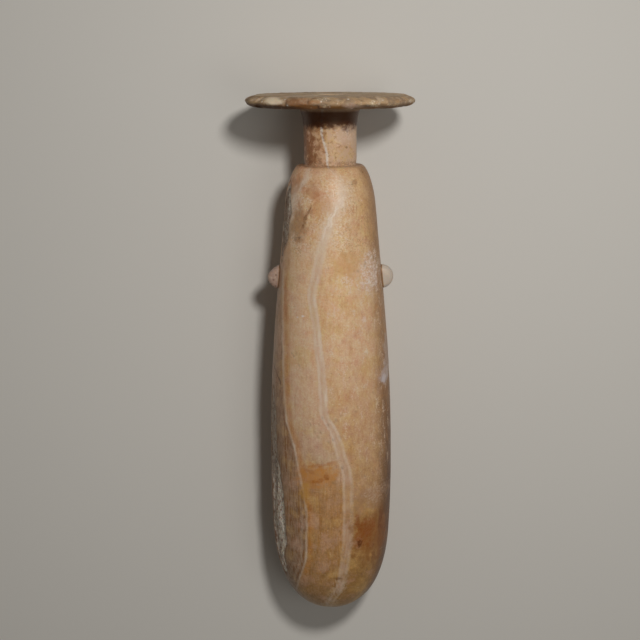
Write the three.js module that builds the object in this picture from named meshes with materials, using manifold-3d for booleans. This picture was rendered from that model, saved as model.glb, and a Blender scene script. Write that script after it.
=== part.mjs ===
// A slender stone flask: a long body with a round base, a narrow neck, a wide flat rim,
// a narrow drilled mouth and two small unpierced lugs below the shoulder.
// Its base can't hold it up, so it lies down, on its body and on the edge of its rim,
// with its mouth towards +Y and its front up. Each of the two has a small flat on the floor.
//
// Lengths are in millimetres and angles in degrees. The flask is made with its axis along +Y
// and the tip of its base at the origin, and is laid down last. Heights run up the axis.
// A bearing runs round the axis: 0 is the right side, 90 the front, 180 the left, 270 under.
import * as THREE from "three";
import { mergeVertices } from "three/addons/utils/BufferGeometryUtils.js";
import Module from "manifold-3d";

// Body: the tip of the base, the foot of the flank, the widest place and the shoulder
const BODY_LENGTH = 208.9;
const BELLY_RADIUS = 27.9;
const BELLY_HEIGHT = 75;
const FLANK_FOOT_RADIUS = 27.05;
const FLANK_FOOT_HEIGHT = 39;
const FLANK_FOOT_SLOPE = 0.059;
const BASE_BLUNTNESS = 16.5;
const BASE_ROUNDING = 25;
const SHOULDER_RADIUS = 20.5;
const SHOULDER_DROP = 18;
const SHOULDER_TAPER = 0.09;
const SHOULDER_ROUNDING = 9;
const SHOULDER_TOP_RADIUS = 14;
const SHOULDER_TOP_ROUNDING = 2.4;
// How far the handles of the flank's curves reach, as a share of their stretch
const FLANK_SWEEP = 0.39;

// Neck and rim
const NECK_RADIUS = 11.9;
const NECK_LENGTH = 25.7;
const NECK_FLARE_LENGTH = 13;
const NECK_FLARE = 2.1;
const FLARE_FOOT_SWEEP = 0.55;
const FLARE_TOP_SWEEP = 0.25;
const FLARE_TOP_SPREAD = 0.4;
const NECK_FOOT_FILLET = 0.6;
const RIM_RADIUS = 38;
const RIM_THICKNESS = 5.4;
const RIM_EDGE_REACH = 6;

// Hollow
const WALL = 7;
const BASE_WALL = 12;
const BORE_RADIUS = 6.9;
const MOUTH_EDGE = 1.2;
const HOLLOW_TOP_DROP = 6;
const HOLLOW_SHOULDER_LENGTH = 14;
const HOLLOW_SHOULDER_SWEEP = 0.5;
const HOLLOW_BASE_SWEEP = 0.6;

// Lugs: round discs sunk in the flanks, one on each side
const LUG_RADIUS = 5.4;
const LUG_THICKNESS = 6;
const LUG_EDGE = 2;
const LUG_DROP = 51;
const LUG_SINK = 0.3;
const LUG_CHIP = 1.3;
const LUG_CHIP_SLOPE = 40;

// How deep the floor's two flats are cut into the body and the rim
const FLAT_DEPTH = 0.35;

// A long shallow flake lost from the left side of the belly, and a smaller one at the shoulder
const BELLY_FLAKE_DEPTH = 1.1;
const BELLY_FLAKE_DROP = 14;
const BELLY_FLAKE_HALF_LENGTH = 44;
const BELLY_FLAKE_BEARING = 166;
const BELLY_FLAKE_HALF_ANGLE = 25;
const SHOULDER_FLAKE_DEPTH = 0.6;
const SHOULDER_FLAKE_DROP = 7;
const SHOULDER_FLAKE_HALF_LENGTH = 19;
const SHOULDER_FLAKE_BEARING = 170;
const SHOULDER_FLAKE_HALF_ANGLE = 20;

// Named chips of the rim's edge. A lift of 90 bites from the rim's top face, -90 from below,
// and the ball sinks in by its depth, square to the edge's surface there
const RIM_CHIPS = [
  { bearing: 6, lift: 48, depth: 1.3, ball: 7 },
  { bearing: 22, lift: -50, depth: 0.9, ball: 5 },
  { bearing: 128, lift: 8, depth: 0.5, ball: 24 },
  { bearing: 66, lift: -40, depth: 0.7, ball: 9 },
  { bearing: 176, lift: 35, depth: 0.7, ball: 8 },
  { bearing: 205, lift: -30, depth: 1, ball: 10 },
];
// Small nicks on all the rest of the rim's edge, one in each equal share of its round. Each is
// drifted, lifted and deepened by a wave of its own, and none is near the floor's flat
const NICKS = 11;
const NICK_BALL = 8;
const NICK_DRIFT = 9;
const NICK_DRIFT_STEP = 2.4;
const NICK_LIFT = 55;
const NICK_LIFT_STEP = 2.1;
const NICK_DEPTH = 0.41;
const NICK_DEPTH_SPREAD = 0.14;
const NICK_DEPTH_STEP = 1.7;
const BITE_TURN_STEP = 3;
const UNDER = 270;
const UNDER_CLEARANCE = 14;

// Fineness of the mesh: segments round the axis, and along each stretch of the profile
const ROUND_SEGMENTS = 56;
const BASE_SEGMENTS = 10;
const FOOT_SEGMENTS = 3;
const FLANK_SEGMENTS = 9;
const SHOULDER_SEGMENTS = 7;
const FILLET_SEGMENTS = 2;
const FLARE_SEGMENTS = 4;
const RIM_EDGE_SEGMENTS = 8;
const MOUTH_SEGMENTS = 3;
const HOLLOW_SEGMENTS = 5;
const HOLLOW_BASE_SEGMENTS = 6;
const LUG_ROUND_SEGMENTS = 20;
const LUG_EDGE_SEGMENTS = 3;
const WELD = 1e-4;

const STONE = { color: 0xb5915f, roughness: 0.45, metalness: 0 };

const wasm = await Module();
wasm.setup();

const rad = THREE.MathUtils.degToRad;
const at = (x, y) => new THREE.Vector2(x, y);

function bezier(from, handleFrom, handleTo, to, steps) {
  return new THREE.CubicBezierCurve(from, handleFrom, handleTo, to).getPoints(steps);
}

function ellipse(x, y, radiusX, radiusY, fromAngle, toAngle, steps) {
  const curve = new THREE.EllipseCurve(
    x, y, radiusX, radiusY, rad(fromAngle), rad(toAngle), toAngle < fromAngle,
  );
  return curve.getPoints(steps);
}

function arc(x, y, radius, fromAngle, toAngle, steps) {
  return ellipse(x, y, radius, radius, fromAngle, toAngle, steps);
}

// Heights that follow from the sizes above
const shoulderHeight = BODY_LENGTH - SHOULDER_DROP;
const rimUnderside = BODY_LENGTH + NECK_LENGTH;
const flaskHeight = rimUnderside + RIM_THICKNESS;
const rimMiddle = rimUnderside + RIM_THICKNESS / 2;

const flakes = [
  {
    depth: BELLY_FLAKE_DEPTH,
    height: BELLY_HEIGHT - BELLY_FLAKE_DROP,
    halfHeight: BELLY_FLAKE_HALF_LENGTH,
    bearing: BELLY_FLAKE_BEARING,
    halfBearing: BELLY_FLAKE_HALF_ANGLE,
  },
  {
    depth: SHOULDER_FLAKE_DEPTH,
    height: shoulderHeight - SHOULDER_FLAKE_DROP,
    halfHeight: SHOULDER_FLAKE_HALF_LENGTH,
    bearing: SHOULDER_FLAKE_BEARING,
    halfBearing: SHOULDER_FLAKE_HALF_ANGLE,
  },
];

// The body's outside, from the tip of the base to the foot of the neck
function bodyProfile() {
  const foot = at(FLANK_FOOT_RADIUS, FLANK_FOOT_HEIGHT);
  const belly = at(BELLY_RADIUS, BELLY_HEIGHT);
  const shoulder = at(SHOULDER_RADIUS, shoulderHeight);
  const footReach = (BELLY_HEIGHT - FLANK_FOOT_HEIGHT) * FLANK_SWEEP;
  const flankReach = (shoulderHeight - BELLY_HEIGHT) * FLANK_SWEEP;
  return [
    ...bezier(
      at(0, 0),
      at(BASE_BLUNTNESS, 0),
      at(foot.x - FLANK_FOOT_SLOPE * BASE_ROUNDING, foot.y - BASE_ROUNDING),
      foot,
      BASE_SEGMENTS,
    ),
    ...bezier(
      foot,
      at(foot.x + FLANK_FOOT_SLOPE * footReach, foot.y + footReach),
      at(belly.x, belly.y - footReach),
      belly,
      FOOT_SEGMENTS,
    ),
    ...bezier(
      belly,
      at(belly.x, belly.y + flankReach),
      at(shoulder.x + SHOULDER_TAPER * flankReach, shoulder.y - flankReach),
      shoulder,
      FLANK_SEGMENTS,
    ),
    ...bezier(
      shoulder,
      at(shoulder.x - SHOULDER_TAPER * SHOULDER_ROUNDING, shoulder.y + SHOULDER_ROUNDING),
      at(SHOULDER_TOP_RADIUS + SHOULDER_TOP_ROUNDING, BODY_LENGTH),
      at(SHOULDER_TOP_RADIUS, BODY_LENGTH),
      SHOULDER_SEGMENTS,
    ),
  ];
}

// The neck with its fillet at the foot and its flare under the rim
function neckProfile() {
  const fillet = NECK_FOOT_FILLET;
  const flareFoot = rimUnderside - NECK_FLARE_LENGTH;
  return [
    ...arc(NECK_RADIUS + fillet, BODY_LENGTH + fillet, fillet, 270, 180, FILLET_SEGMENTS),
    ...bezier(
      at(NECK_RADIUS, flareFoot),
      at(NECK_RADIUS, flareFoot + NECK_FLARE_LENGTH * FLARE_FOOT_SWEEP),
      at(
        NECK_RADIUS + NECK_FLARE * FLARE_TOP_SPREAD,
        rimUnderside - NECK_FLARE_LENGTH * FLARE_TOP_SWEEP,
      ),
      at(NECK_RADIUS + NECK_FLARE, rimUnderside),
      FLARE_SEGMENTS,
    ),
  ];
}

// The rim's tapered edge and flat top, to the mouth's softened edge
function rimProfile() {
  const middle = RIM_RADIUS - RIM_EDGE_REACH;
  const half = RIM_THICKNESS / 2;
  return [
    ...ellipse(middle, rimMiddle, RIM_EDGE_REACH, half, 270, 450, RIM_EDGE_SEGMENTS),
    ...arc(BORE_RADIUS + MOUTH_EDGE, flaskHeight - MOUTH_EDGE, MOUTH_EDGE, 90, 180, MOUTH_SEGMENTS),
  ];
}

// The bore and the hollow, from the mouth down to the bottom of the hollow
function hollowProfile() {
  const top = at(BORE_RADIUS, BODY_LENGTH - HOLLOW_TOP_DROP);
  const shoulder = at(SHOULDER_RADIUS - WALL, top.y - HOLLOW_SHOULDER_LENGTH);
  const belly = at(BELLY_RADIUS - WALL, BELLY_HEIGHT);
  const reach = (shoulder.y - belly.y) * FLANK_SWEEP;
  const bend = HOLLOW_SHOULDER_LENGTH * HOLLOW_SHOULDER_SWEEP;
  const baseReach = (belly.y - BASE_WALL) * HOLLOW_BASE_SWEEP;
  return [
    ...bezier(
      top,
      at(top.x, top.y - bend),
      at(shoulder.x - SHOULDER_TAPER * bend, shoulder.y + bend),
      shoulder,
      HOLLOW_SEGMENTS,
    ),
    ...bezier(
      shoulder,
      at(shoulder.x + SHOULDER_TAPER * reach, shoulder.y - reach),
      at(belly.x, belly.y + reach),
      belly,
      HOLLOW_SEGMENTS,
    ),
    ...bezier(
      belly,
      at(belly.x, belly.y - baseReach),
      at(BASE_BLUNTNESS, BASE_WALL),
      at(0, BASE_WALL),
      HOLLOW_BASE_SEGMENTS,
    ),
  ];
}

// How far a flake takes the surface in, at a height and a bearing
function flakeDepth(flake, height, bearing) {
  const along = (height - flake.height) / flake.halfHeight;
  const across = (bearing - flake.bearing) / flake.halfBearing;
  return flake.depth * Math.max(0, 1 - along * along - across * across);
}

// Takes the flakes off the outside of the turned body
function takeFlakes(geometry, outside) {
  const position = geometry.getAttribute("position");
  for (let i = 0; i < position.count; i += 1) {
    if (i % outside.profile >= outside.body) continue;
    const x = position.getX(i);
    const z = position.getZ(i);
    const radius = Math.hypot(x, z);
    const bearing = (THREE.MathUtils.radToDeg(Math.atan2(z, x)) + 360) % 360;
    const loss = flakes.reduce((sum, f) => sum + flakeDepth(f, position.getY(i), bearing), 0);
    if (loss === 0) continue;
    const share = (radius - loss) / radius;
    position.setX(i, x * share);
    position.setZ(i, z * share);
  }
}

// A closed geometry as a solid, after an optional placing
function solidOf(geometry, matrix = new THREE.Matrix4()) {
  const placed = (geometry.index ? geometry.toNonIndexed() : geometry.clone()).applyMatrix4(matrix);
  placed.deleteAttribute("normal");
  placed.deleteAttribute("uv");
  const merged = mergeVertices(placed, WELD);
  return new wasm.Manifold(new wasm.Mesh({
    numProp: 3,
    vertProperties: new Float32Array(merged.getAttribute("position").array),
    triVerts: new Uint32Array(merged.index.array),
  }));
}

function geometryOf(solid) {
  const mesh = solid.getMesh();
  const geometry = new THREE.BufferGeometry();
  geometry.setAttribute("position", new THREE.BufferAttribute(mesh.vertProperties, 3));
  geometry.setIndex(new THREE.BufferAttribute(mesh.triVerts, 1));
  return geometry;
}

const place = (x, y, z) => new THREE.Matrix4().makeTranslation(x, y, z);

// The turned vessel: outside and hollow in one closed profile
function vessel() {
  const body = bodyProfile();
  const profile = [...body, ...neckProfile(), ...rimProfile(), ...hollowProfile()];
  const distinct = profile.filter((p, i) => i === 0 || p.distanceTo(profile[i - 1]) > WELD);
  const bodyCount = distinct.findIndex((p) => p.y >= BODY_LENGTH) + 1;
  const geometry = new THREE.LatheGeometry(distinct, ROUND_SEGMENTS);
  takeFlakes(geometry, { profile: distinct.length, body: bodyCount });
  return solidOf(geometry);
}

// Radius of the body's outside at a height
function bodyRadius(height) {
  const profile = bodyProfile();
  const above = profile.findIndex((p, i) => i > 0 && p.y >= height);
  const low = profile[above - 1];
  const high = profile[above];
  return low.x + ((high.x - low.x) * (height - low.y)) / (high.y - low.y);
}

// One lug, a disc with round edges that stands half out of the flank. A side of 1 is the right
function lug(side) {
  const flat = LUG_THICKNESS / 2 - LUG_EDGE;
  const disc = new THREE.LatheGeometry([
    at(0, -LUG_THICKNESS / 2),
    ...arc(LUG_RADIUS - LUG_EDGE, -flat, LUG_EDGE, 270, 360, LUG_EDGE_SEGMENTS),
    ...arc(LUG_RADIUS - LUG_EDGE, flat, LUG_EDGE, 0, 90, LUG_EDGE_SEGMENTS),
    at(0, LUG_THICKNESS / 2),
  ], LUG_ROUND_SEGMENTS);
  const height = BODY_LENGTH - LUG_DROP;
  const reach = bodyRadius(height) - LUG_SINK;
  const turn = new THREE.Matrix4().makeRotationX(Math.PI / 2);
  return solidOf(disc, place(side * reach, height, 0).multiply(turn));
}

// A slab that takes the upper outer corner off the left lug
function lugChip() {
  const size = LUG_RADIUS * 4;
  const slope = rad(LUG_CHIP_SLOPE);
  const reach = bodyRadius(BODY_LENGTH - LUG_DROP) - LUG_SINK;
  const out = LUG_RADIUS - LUG_CHIP + size / 2;
  const x = -reach - Math.sin(slope) * out;
  const y = BODY_LENGTH - LUG_DROP + Math.cos(slope) * out;
  const turn = new THREE.Matrix4().makeRotationZ(slope);
  return solidOf(new THREE.BoxGeometry(size, size, size), place(x, y, 0).multiply(turn));
}

// A faceted ball that bites a chip out of the rim's edge
function rimBite({ bearing, lift, depth, ball }) {
  const half = RIM_THICKNESS / 2;
  const onEdge = at(Math.cos(rad(lift)) * RIM_EDGE_REACH, Math.sin(rad(lift)) * half);
  const outward = at(Math.cos(rad(lift)) / RIM_EDGE_REACH, Math.sin(rad(lift)) / half);
  onEdge.addScaledVector(outward.normalize(), ball - depth);
  const radius = RIM_RADIUS - RIM_EDGE_REACH + onEdge.x;
  const height = rimMiddle + onEdge.y;
  const x = radius * Math.cos(rad(bearing));
  const z = radius * Math.sin(rad(bearing));
  const turn = new THREE.Matrix4().makeRotationY(rad(bearing * BITE_TURN_STEP));
  return solidOf(new THREE.IcosahedronGeometry(ball, 1), place(x, height, z).multiply(turn));
}

// The nicks, each from the middle of its share of the round
function nicks() {
  return Array.from({ length: NICKS }, (_, i) => ({
    bearing: (i + 0.5) * (360 / NICKS) + NICK_DRIFT * Math.sin(i * NICK_DRIFT_STEP),
    lift: NICK_LIFT * Math.cos(i * NICK_LIFT_STEP),
    depth: NICK_DEPTH + NICK_DEPTH_SPREAD * Math.sin(i * NICK_DEPTH_STEP),
    ball: NICK_BALL,
  })).filter((nick) => Math.abs(nick.bearing - UNDER) > UNDER_CLEARANCE);
}

// The lean of the axis when the body and the rim's edge both touch the floor
function leanOfLyingFlask() {
  const leans = bodyProfile().map((p) => Math.atan2(RIM_RADIUS - p.x, rimMiddle - p.y));
  return Math.min(...leans);
}

function lyingFlask() {
  let solid = vessel().add(lug(1)).add(lug(-1).subtract(lugChip()));
  for (const chip of [...RIM_CHIPS, ...nicks()]) solid = solid.subtract(rimBite(chip));

  const lean = leanOfLyingFlask();
  const lowest = rimMiddle * Math.sin(lean) - RIM_RADIUS * Math.cos(lean);
  const geometry = geometryOf(solid)
    .applyMatrix4(new THREE.Matrix4().makeRotationX(lean))
    .translate(0, 0, -lowest - FLAT_DEPTH);

  const room = flaskHeight * 3;
  const floor = solidOf(new THREE.BoxGeometry(room, room, room), place(0, 0, -room / 2));
  const lying = geometryOf(solidOf(geometry).subtract(floor));

  // The part's origin is on the floor, under the middle of the lying flask
  lying.computeBoundingBox();
  const middle = lying.boundingBox.getCenter(new THREE.Vector3());
  return lying.translate(-middle.x, -middle.y, 0);
}

const flask = new THREE.Mesh(lyingFlask(), new THREE.MeshStandardMaterial(STONE));
flask.name = "alabastron";

const part = new THREE.Group();
part.name = "alabastron_part";
part.add(flask);

export default part;
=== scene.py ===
"""A slender banded stone flask, lying on a pale floor and seen from above.

Sizes of the flask are in millimetres in its own frame: x to the right, y up the axis from the
tip of the base, z to the front. It is then laid down into the row's frame, in metres.
"""

import logging
import math
from dataclasses import dataclass, field
from enum import Enum

import bpy
import numpy as np
from mathutils import Matrix, Vector, noise


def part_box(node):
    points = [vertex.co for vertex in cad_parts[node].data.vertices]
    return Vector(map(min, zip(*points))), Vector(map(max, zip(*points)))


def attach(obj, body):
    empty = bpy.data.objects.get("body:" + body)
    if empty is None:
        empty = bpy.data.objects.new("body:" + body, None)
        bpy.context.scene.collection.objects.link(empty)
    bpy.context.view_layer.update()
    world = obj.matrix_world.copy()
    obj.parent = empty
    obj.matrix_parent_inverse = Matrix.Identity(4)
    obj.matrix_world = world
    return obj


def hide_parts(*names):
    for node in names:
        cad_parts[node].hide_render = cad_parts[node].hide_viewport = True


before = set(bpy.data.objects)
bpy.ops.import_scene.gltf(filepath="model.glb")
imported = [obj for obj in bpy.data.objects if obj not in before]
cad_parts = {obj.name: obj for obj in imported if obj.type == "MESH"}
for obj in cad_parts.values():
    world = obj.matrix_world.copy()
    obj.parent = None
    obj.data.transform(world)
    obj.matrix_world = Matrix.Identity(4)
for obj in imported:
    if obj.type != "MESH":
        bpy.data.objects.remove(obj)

LOG = logging.getLogger("flask")
NODE = "alabastron"
BODY = "root"
MM = 0.001


# Form


@dataclass(frozen=True)
class Sizes:
    """Driving sizes of the flask, in millimetres, the same as the solid's."""

    body_length: float = 208.9
    belly_radius: float = 27.9
    belly_height: float = 75.0
    foot_radius: float = 27.05
    foot_height: float = 39.0
    foot_slope: float = 0.059
    base_bluntness: float = 16.5
    base_rounding: float = 25.0
    shoulder_radius: float = 20.5
    shoulder_drop: float = 18.0
    shoulder_taper: float = 0.09
    shoulder_rounding: float = 9.0
    shoulder_top_radius: float = 14.0
    shoulder_top_rounding: float = 2.4
    neck_radius: float = 11.9
    neck_length: float = 25.7
    flare_length: float = 13.0
    flare: float = 2.1
    neck_fillet: float = 0.6
    rim_radius: float = 38.0
    rim_thickness: float = 5.4
    rim_edge_reach: float = 6.0
    wall: float = 7.0
    base_wall: float = 12.0
    bore_radius: float = 6.9
    mouth_edge: float = 1.2
    hollow_top_drop: float = 6.0
    hollow_shoulder_length: float = 14.0
    lug_radius: float = 5.4
    lug_thickness: float = 6.0
    lug_drop: float = 51.0
    lug_sink: float = 0.3
    lug_chip: float = 1.3
    lug_chip_slope: float = 40.0
    flat_depth: float = 0.35

    @property
    def shoulder_height(self) -> float:
        """Height of the shoulder's turn."""
        return self.body_length - self.shoulder_drop

    @property
    def rim_underside(self) -> float:
        """Height of the rim's lower face."""
        return self.body_length + self.neck_length

    @property
    def rim_middle(self) -> float:
        """Height of the middle of the rim's edge."""
        return self.rim_underside + self.rim_thickness / 2

    @property
    def height(self) -> float:
        """Height of the rim's top face."""
        return self.rim_underside + self.rim_thickness

    @property
    def lug_height(self) -> float:
        """Height of the lugs' middle."""
        return self.body_length - self.lug_drop


Point = tuple[float, float]


def bezier(start: Point, out: Point, into: Point, end: Point, steps: int) -> list[Point]:
    """Points of a cubic curve, ends included.

    Args:
        start: First point.
        out: Handle of the first point.
        into: Handle of the last point.
        end: Last point.
        steps: Number of stretches.

    Returns:
        The points in order.
    """
    points = []
    for i in range(steps + 1):
        t = i / steps
        w = ((1 - t) ** 3, 3 * (1 - t) ** 2 * t, 3 * (1 - t) * t * t, t**3)
        points.append(tuple(
            sum(k * p[axis] for k, p in zip(w, (start, out, into, end))) for axis in (0, 1)
        ))
    return points


def arc(centre: Point, half: Point, start: float, end: float, steps: int) -> list[Point]:
    """Points of an ellipse's arc between two angles in degrees, ends included."""
    turns = (math.radians(start + (end - start) * i / steps) for i in range(steps + 1))
    return [(centre[0] + half[0] * math.cos(a), centre[1] + half[1] * math.sin(a)) for a in turns]


def line(start: Point, end: Point, steps: int) -> list[Point]:
    """Points of a straight stretch, ends included."""
    return [
        (start[0] + (end[0] - start[0]) * i / steps, start[1] + (end[1] - start[1]) * i / steps)
        for i in range(steps + 1)
    ]


def span(
    start: Point, out: float, end: Point, into: float, reach: float, steps: int
) -> list[Point]:
    """Points of a curve that runs up the axis, or down it with a reach below 0.

    Args:
        start: First point.
        out: Change of radius with height at the first point.
        end: Last point.
        into: Change of radius with height at the last point.
        reach: How far along the axis each handle is from its point.
        steps: Number of stretches.

    Returns:
        The points in order.
    """
    first = (start[0] + out * reach, start[1] + reach)
    last = (end[0] - into * reach, end[1] - reach)
    return bezier(start, first, last, end, steps)


@dataclass(frozen=True)
class Outline:
    """The turned profile, as points of radius and height in millimetres."""

    sizes: Sizes = Sizes()
    reach_share: float = 0.39
    base_steps: int = 44
    foot_steps: int = 34
    flank_steps: int = 108
    shoulder_steps: int = 26
    neck_steps: int = 12
    flare_steps: int = 12
    face_steps: int = 16
    edge_steps: int = 24
    hollow_steps: int = 14

    def body(self) -> list[Point]:
        """The outside from the tip of the base to the neck's foot."""
        s = self.sizes
        foot = (s.foot_radius, s.foot_height)
        belly = (s.belly_radius, s.belly_height)
        shoulder = (s.shoulder_radius, s.shoulder_height)
        low = (belly[1] - foot[1]) * self.reach_share
        high = (shoulder[1] - belly[1]) * self.reach_share
        return [
            *bezier(
                (0, 0),
                (s.base_bluntness, 0),
                (foot[0] - s.foot_slope * s.base_rounding, foot[1] - s.base_rounding),
                foot,
                self.base_steps,
            ),
            *span(foot, s.foot_slope, belly, 0, low, self.foot_steps),
            *span(belly, 0, shoulder, -s.shoulder_taper, high, self.flank_steps),
            *bezier(
                shoulder,
                (
                    shoulder[0] - s.shoulder_taper * s.shoulder_rounding,
                    shoulder[1] + s.shoulder_rounding,
                ),
                (s.shoulder_top_radius + s.shoulder_top_rounding, s.body_length),
                (s.shoulder_top_radius, s.body_length),
                self.shoulder_steps,
            ),
        ]

    def neck(self) -> list[Point]:
        """The neck from its foot to the rim's underside."""
        s = self.sizes
        flare_foot = s.rim_underside - s.flare_length
        fillet = s.neck_fillet
        return [
            *arc((s.neck_radius + fillet, s.body_length + fillet), (fillet, fillet), 270, 180, 3),
            *line(
                (s.neck_radius, s.body_length + 2 * fillet),
                (s.neck_radius, flare_foot),
                self.neck_steps,
            ),
            *bezier(
                (s.neck_radius, flare_foot),
                (s.neck_radius, flare_foot + s.flare_length * 0.55),
                (s.neck_radius + s.flare * 0.4, s.rim_underside - s.flare_length * 0.25),
                (s.neck_radius + s.flare, s.rim_underside),
                self.flare_steps,
            ),
        ]

    def rim(self) -> list[Point]:
        """The rim from the neck, round its edge and over its top to the mouth's edge."""
        s = self.sizes
        half = (s.rim_edge_reach, s.rim_thickness / 2)
        under = (s.rim_radius - s.rim_edge_reach, s.rim_underside)
        over = (under[0], s.height)
        edge = s.mouth_edge
        mouth = (s.bore_radius + edge, s.height)
        return [
            *line((s.neck_radius + s.flare, s.rim_underside), under, self.face_steps),
            *arc((under[0], s.rim_middle), half, 270, 450, self.edge_steps),
            *line(over, mouth, self.face_steps),
            *arc((mouth[0], s.height - edge), (edge, edge), 90, 180, 4),
        ]

    def hollow(self) -> list[Point]:
        """The bore and the hollow, from the mouth's edge to the bottom of the hollow."""
        s = self.sizes
        mouth = (s.bore_radius, s.height - s.mouth_edge)
        top = (s.bore_radius, s.body_length - s.hollow_top_drop)
        shoulder = (s.shoulder_radius - s.wall, top[1] - s.hollow_shoulder_length)
        belly = (s.belly_radius - s.wall, s.belly_height)
        reach = (shoulder[1] - belly[1]) * self.reach_share
        bend = s.hollow_shoulder_length * 0.5
        base = (belly[1] - s.base_wall) * 0.6
        return [
            *line(mouth, top, self.hollow_steps),
            *span(top, 0, shoulder, -s.shoulder_taper, -bend, self.hollow_steps // 2),
            *span(shoulder, -s.shoulder_taper, belly, 0, -reach, self.hollow_steps),
            *bezier(
                belly,
                (belly[0], belly[1] - base),
                (s.base_bluntness, s.base_wall),
                (0, s.base_wall),
                self.hollow_steps,
            ),
        ]

    def points(self) -> list[Point]:
        """The whole profile with each meeting point once."""
        close = 1e-4
        kept: list[Point] = []
        for p in (*self.body(), *self.neck(), *self.rim(), *self.hollow()):
            if not kept or math.dist(p, kept[-1]) > close:
                kept.append(p)
        return kept

    def radius_at(self, height: np.ndarray) -> np.ndarray:
        """Radius of the body's outside at some heights, in millimetres."""
        body = np.array(self.body())
        return np.interp(height, body[:, 1], body[:, 0])


@dataclass(frozen=True)
class Lie:
    """How the flask lies: on its body and its rim's edge, sunk by the depth of its flats."""

    outline: Outline = Outline()

    @property
    def lean(self) -> float:
        """Lean of the axis, in radians, when body and rim both touch the floor."""
        s = self.outline.sizes
        return min(
            math.atan2(s.rim_radius - r, s.rim_middle - h) for r, h in self.outline.body()
        )

    def matrix(self, middle: float) -> Matrix:
        """Takes flask millimetres to the row's metres.

        Args:
            middle: Row y of the base's tip, in metres.

        Returns:
            The placing matrix.
        """
        s = self.outline.sizes
        lowest = s.rim_middle * math.sin(self.lean) - s.rim_radius * math.cos(self.lean)
        rise = (-lowest - s.flat_depth) * MM
        return (
            Matrix.Translation((0, middle, rise))
            @ Matrix.Rotation(self.lean, 4, "X")
            @ Matrix.Scale(MM, 4)
        )

    def tip_y(self) -> float:
        """Row y of the base's tip, with the origin under the middle of the box."""
        s = self.outline.sizes
        sin, cos = math.sin(self.lean), math.cos(self.lean)
        points = self.outline.points()
        ends = [h * cos + side * r * sin for r, h in points for side in (-1, 1)]
        return -(min(ends) + max(ends)) / 2 * MM


def modulate(p: np.ndarray, scale: float, octaves: int = 4, seed: float = 0.0) -> np.ndarray:
    """Smooth noise of about -1 to 1 at each point, with its largest swell of scale millimetres."""
    q = p / scale + seed
    return np.array([noise.fractal(Vector(v), 1.0, 2.1, octaves) for v in q])


def crystals(p: np.ndarray, scale: float, seed: float = 0.0) -> np.ndarray:
    """Distance from each point to its grain's middle, 0 to about 1, for a broken crystal face."""
    q = p / scale + seed
    return np.array([noise.voronoi(Vector(v))[0][0] for v in q])


def smooth(x: np.ndarray, low: float, high: float) -> np.ndarray:
    """Smooth step from 0 at low to 1 at high."""
    t = np.clip((x - low) / (high - low), 0, 1)
    return t * t * (3 - 2 * t)


@dataclass(frozen=True)
class Flake:
    """A shallow flake lost from the flank."""

    depth: float
    height: float
    bearing: float
    half_height: float
    half_bearing: float
    grain: float
    roughness: float
    raggedness: float = 0.28
    ragged_size: float = 7.0
    reach: float = 1.6

    def share(self, p: np.ndarray, bearing: np.ndarray) -> np.ndarray:
        """How far inside the flake each point is, 0 outside and 1 in the middle."""
        along = (p[:, 1] - self.height) / self.half_height
        across = (bearing - self.bearing) / self.half_bearing
        far = along**2 + across**2
        near = far < self.reach
        out = np.zeros(len(p))
        ragged = self.raggedness * modulate(p[near], self.ragged_size, 3, 5.0)
        out[near] = np.clip(1 - far[near] + ragged, 0, 1)
        return out


@dataclass(frozen=True)
class Bite:
    """A chip bitten out of the rim's edge by a ball, or by a plane where the ball is large."""

    bearing: float
    lift: float
    depth: float
    ball: float


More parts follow.
